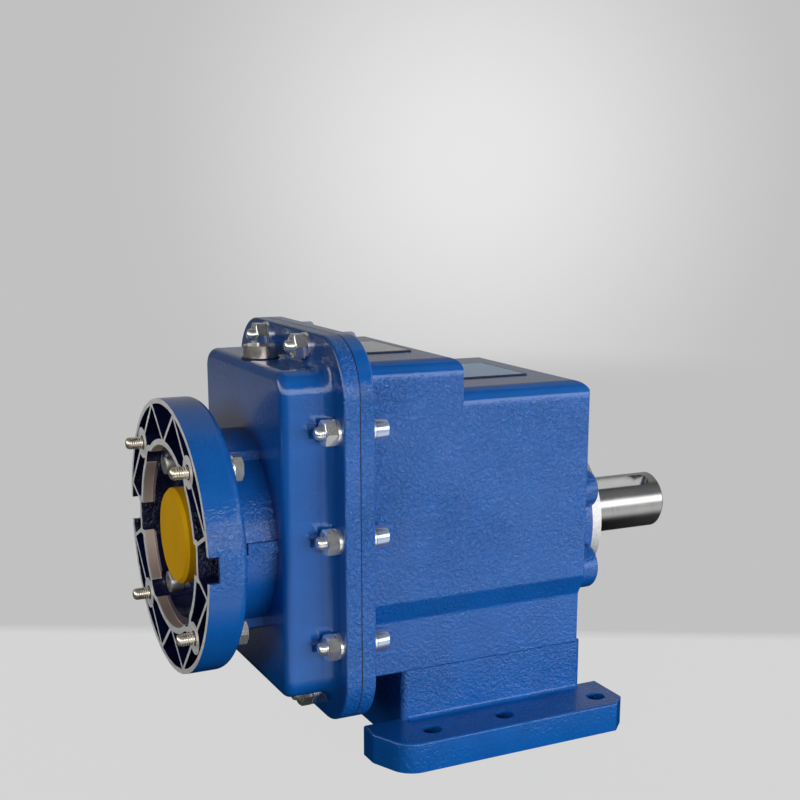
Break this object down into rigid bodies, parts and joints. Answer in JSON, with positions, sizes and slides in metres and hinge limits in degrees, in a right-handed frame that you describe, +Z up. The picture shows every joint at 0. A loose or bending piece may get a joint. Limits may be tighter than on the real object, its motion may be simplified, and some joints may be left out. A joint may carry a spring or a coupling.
{
  "type": "inline helical gearbox",
  "caption": "Foot-mounted inline helical gearbox with a round motor flange, a keyed output shaft, glossy royal blue castings and a yellow shaft cap",
  "frame": {"origin": "Centre of the four corner holes of the feet, on the mounting plane", "axes": "+X runs along the shafts to the output shaft's end, +Z is up from the feet, and the picture's near side is -Y"},
  "size_m": [0.2637, 0.1414, 0.189],
  "materials": {
    "blue_paint": "glossy royal blue enamel over cast iron",
    "machined_steel": "ground and turned steel",
    "zinc_steel": "zinc-plated fasteners",
    "bearing_steel": "polished bearing steel",
    "gear_steel": "case-hardened gear steel",
    "seal_rubber": "black nitrile rubber",
    "gasket": "dark gasket sheet",
    "yellow_cap": "mustard yellow moulded plastic"
  },
  "bodies": {
    "gearbox": {"main_housing": "blue_paint", "input_cover": "blue_paint", "joint_gasket": "gasket", "input_flange": "blue_paint", "foot_bracket": "blue_paint", "joint_screws": "zinc_steel", "joint_washers": "zinc_steel", "joint_head_washers": "zinc_steel", "joint_nuts": "zinc_steel", "flange_bolts": "zinc_steel", "flange_bolt_washers": "zinc_steel", "adaptor_screws": "zinc_steel", "foot_screws": "zinc_steel", "fill_plug": "zinc_steel", "fill_plug_washer": "gasket", "input_seal": "seal_rubber", "output_seal": "seal_rubber", "input_front_outer_ring": "bearing_steel", "input_rear_outer_ring": "bearing_steel", "lay_front_outer_ring": "bearing_steel", "lay_rear_outer_ring": "bearing_steel", "output_front_outer_ring": "bearing_steel", "output_rear_outer_ring": "bearing_steel"},
    "output_train": {"output_shaft": "machined_steel", "output_gear": "gear_steel", "output_gear_key": "gear_steel", "output_circlip": "gear_steel", "output_spacer": "machined_steel", "output_front_inner_ring": "bearing_steel", "output_rear_inner_ring": "bearing_steel"},
    "lay_train": {"layshaft": "gear_steel", "lay_gear": "gear_steel", "lay_key": "gear_steel", "lay_spacer": "machined_steel", "lay_front_inner_ring": "bearing_steel", "lay_rear_inner_ring": "bearing_steel"},
    "input_train": {"input_shaft": "machined_steel", "input_pinion": "gear_steel", "input_front_inner_ring": "bearing_steel", "input_rear_inner_ring": "bearing_steel"},
    "cap": {"shaft_cap": "yellow_cap"},
    "input_front_ball_set": {"input_front_balls": "bearing_steel"},
    "input_rear_ball_set": {"input_rear_balls": "bearing_steel"},
    "lay_front_ball_set": {"lay_front_balls": "bearing_steel"},
    "lay_rear_ball_set": {"lay_rear_balls": "bearing_steel"},
    "output_front_ball_set": {"output_front_balls": "bearing_steel"},
    "output_rear_ball_set": {"output_rear_balls": "bearing_steel"}
  },
  "joints": [
    {"name": "output_spin", "type": "hinge", "parent": "gearbox", "child": "output_train", "pos_m": [0, 0, 0.091], "axis": [1, 0, 0], "continuous": true},
    {"name": "layshaft_spin", "type": "hinge", "parent": "gearbox", "child": "lay_train", "pos_m": [-0.03, 0, 0.14], "axis": [1, 0, 0], "continuous": true},
    {"name": "input_spin", "type": "hinge", "parent": "gearbox", "child": "input_train", "pos_m": [-0.1, 0, 0.1], "axis": [1, 0, 0], "continuous": true},
    {"name": "cap_slide", "type": "slide", "parent": "input_train", "child": "cap", "axis": [-1, 0, 0], "range_m": [0, 0.1]},
    {"name": "input_front_balls_spin", "type": "hinge", "parent": "gearbox", "child": "input_front_ball_set", "pos_m": [-0.1145, 0, 0.1], "axis": [1, 0, 0], "continuous": true},
    {"name": "input_rear_balls_spin", "type": "hinge", "parent": "gearbox", "child": "input_rear_ball_set", "pos_m": [-0.1015, 0, 0.1], "axis": [1, 0, 0], "continuous": true},
    {"name": "lay_front_balls_spin", "type": "hinge", "parent": "gearbox", "child": "lay_front_ball_set", "pos_m": [-0.0875, 0, 0.14], "axis": [1, 0, 0], "continuous": true},
    {"name": "lay_rear_balls_spin", "type": "hinge", "parent": "gearbox", "child": "lay_rear_ball_set", "pos_m": [0.028, 0, 0.14], "axis": [1, 0, 0], "continuous": true},
    {"name": "output_front_balls_spin", "type": "hinge", "parent": "gearbox", "child": "output_front_ball_set", "pos_m": [-0.011, 0, 0.091], "axis": [1, 0, 0], "continuous": true},
    {"name": "output_rear_balls_spin", "type": "hinge", "parent": "gearbox", "child": "output_rear_ball_set", "pos_m": [0.045, 0, 0.091], "axis": [1, 0, 0], "continuous": true}
  ],
  "couplings": [
    {"joint": "layshaft_spin", "follows": "output_spin", "ratio": -3.5714},
    {"joint": "input_spin", "follows": "output_spin", "ratio": 8.8095},
    {"joint": "input_front_balls_spin", "follows": "output_spin", "ratio": 3.6275},
    {"joint": "input_rear_balls_spin", "follows": "output_spin", "ratio": 3.6275},
    {"joint": "lay_front_balls_spin", "follows": "output_spin", "ratio": -1.3571},
    {"joint": "lay_rear_balls_spin", "follows": "output_spin", "ratio": -1.2987},
    {"joint": "output_front_balls_spin", "follows": "output_spin", "ratio": 0.41649},
    {"joint": "output_rear_balls_spin", "follows": "output_spin", "ratio": 0.41649}
  ]
}
